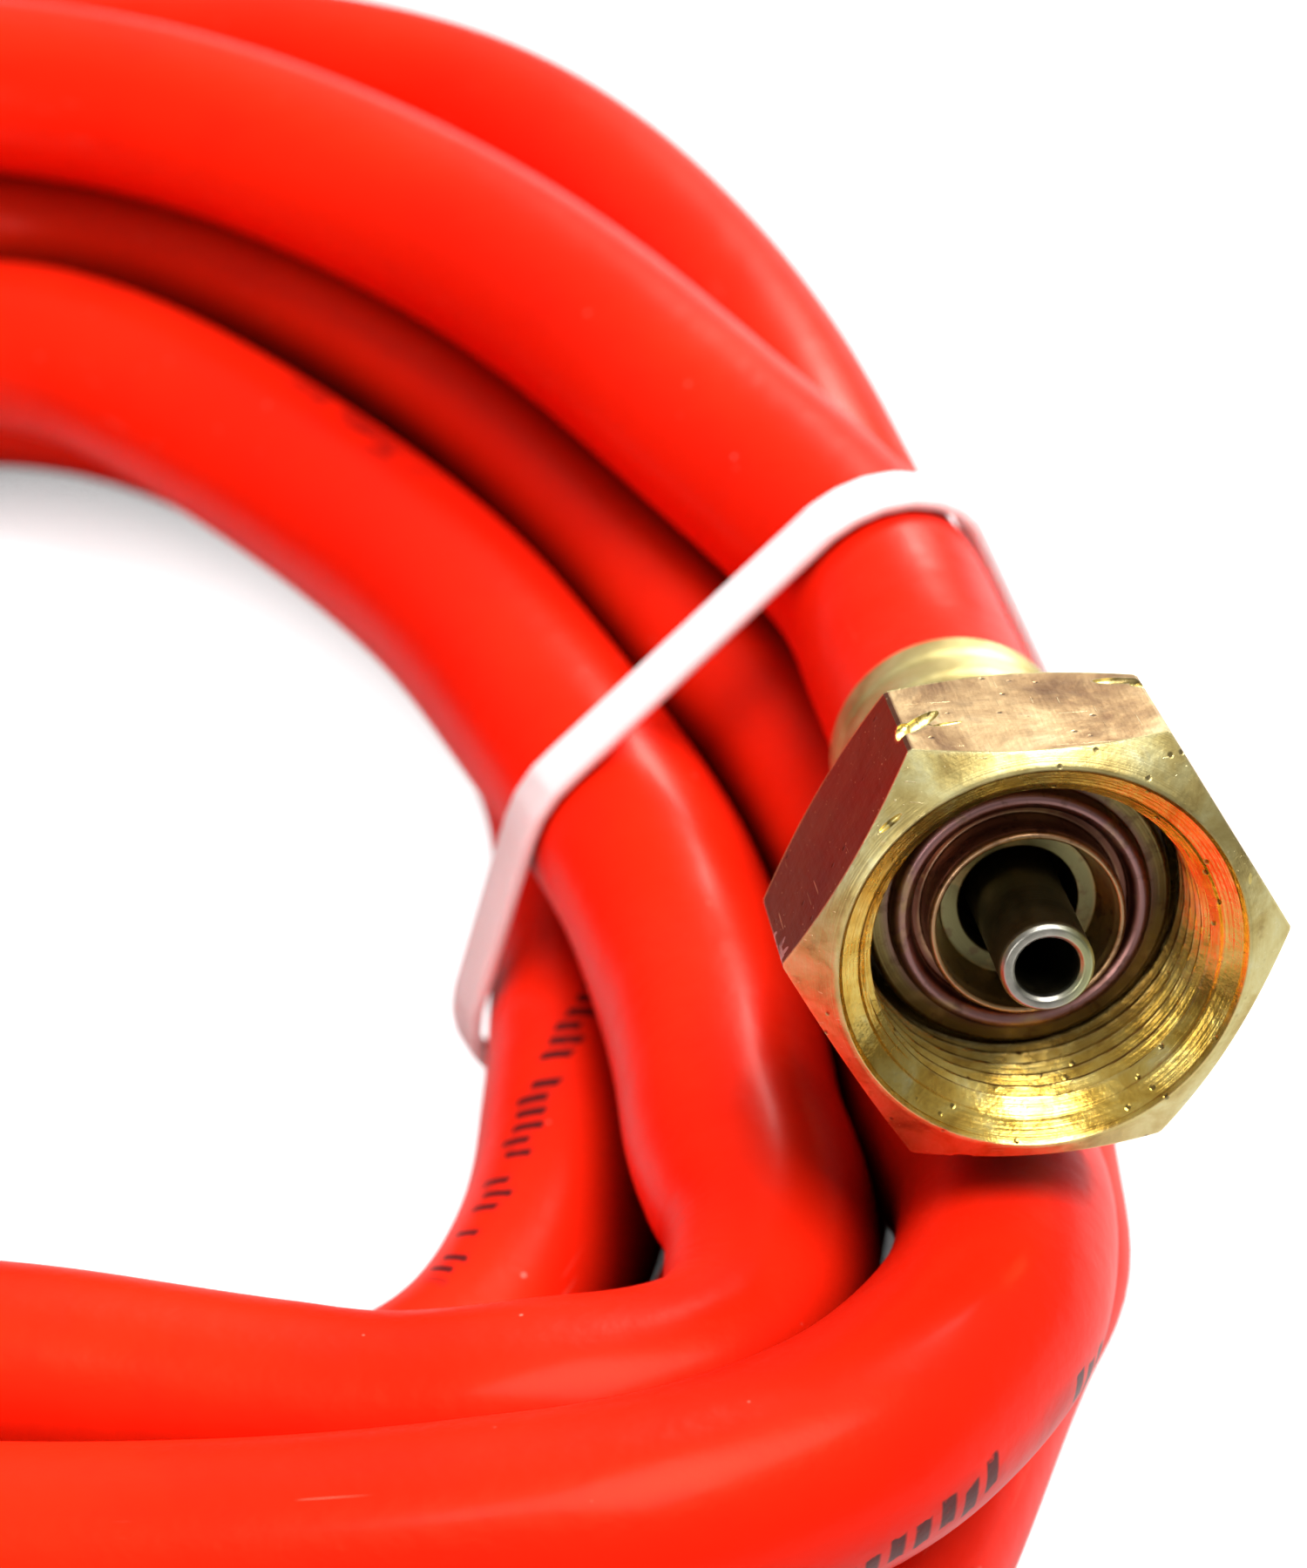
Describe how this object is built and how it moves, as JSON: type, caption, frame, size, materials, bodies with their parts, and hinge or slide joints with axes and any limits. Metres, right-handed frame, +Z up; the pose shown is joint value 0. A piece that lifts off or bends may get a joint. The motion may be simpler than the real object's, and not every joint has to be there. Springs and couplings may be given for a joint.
{
  "type": "coiled gas hose",
  "caption": "Coiled rubber gas hose with a textile braid, a hexagonal union nut, nipple and ferrule on each end, bundled by nylon cable ties.",
  "frame": {"origin": "centre of the overall footprint, at the lowest point of the straps under the coil", "axes": "+Z up, along the coil axis; -Y towards the side the mouth of fitting a points to; +X towards the side fitting a is on"},
  "size_m": [0.1986, 0.212, 0.0643],
  "materials": {
    "cover": "glossy orange-red extruded rubber",
    "braid": "off-white textile yarn",
    "liner": "black rubber",
    "nut": "dull yellow, machined, scratched",
    "slip_ring": "plain",
    "nipple": "yellow passivated with a purple tint",
    "stem": "turned end",
    "ferrule": "pale yellow passivated",
    "nylon": "natural white nylon"
  },
  "bodies": {
    "hose": {"hose_cover": "cover", "hose_braid": "braid", "hose_liner": "liner", "nipple_a": "nipple", "stem_tube_a": "stem", "ferrule_a": "ferrule", "nipple_b": "nipple", "stem_tube_b": "stem", "ferrule_b": "ferrule", "cable_tie_a": "nylon", "cable_tie_b": "nylon"},
    "slip_ring_a": {"slip_ring_a": "slip_ring"},
    "nut_a": {"union_nut_a": "nut"},
    "slip_ring_b": {"slip_ring_b": "slip_ring"},
    "nut_b": {"union_nut_b": "nut"}
  },
  "joints": [
    {"name": "nut_slide_a", "type": "slide", "parent": "hose", "child": "slip_ring_a", "axis": [-0.1001, 0.943, -0.3173], "range_m": [0, 0.0043]},
    {"name": "nut_spin_a", "type": "hinge", "parent": "slip_ring_a", "child": "nut_a", "pos_m": [0.08398, -0.0586, 0.05165], "axis": [0.1001, -0.943, 0.3173], "continuous": true},
    {"name": "nut_slide_b", "type": "slide", "parent": "hose", "child": "slip_ring_b", "axis": [0.8192, 0.5736, 0], "range_m": [0, 0.0043]},
    {"name": "nut_spin_b", "type": "hinge", "parent": "slip_ring_b", "child": "nut_b", "pos_m": [-0.09172, 0.0555, 0.01755], "axis": [-0.8192, -0.5736, 0], "continuous": true}
  ]
}
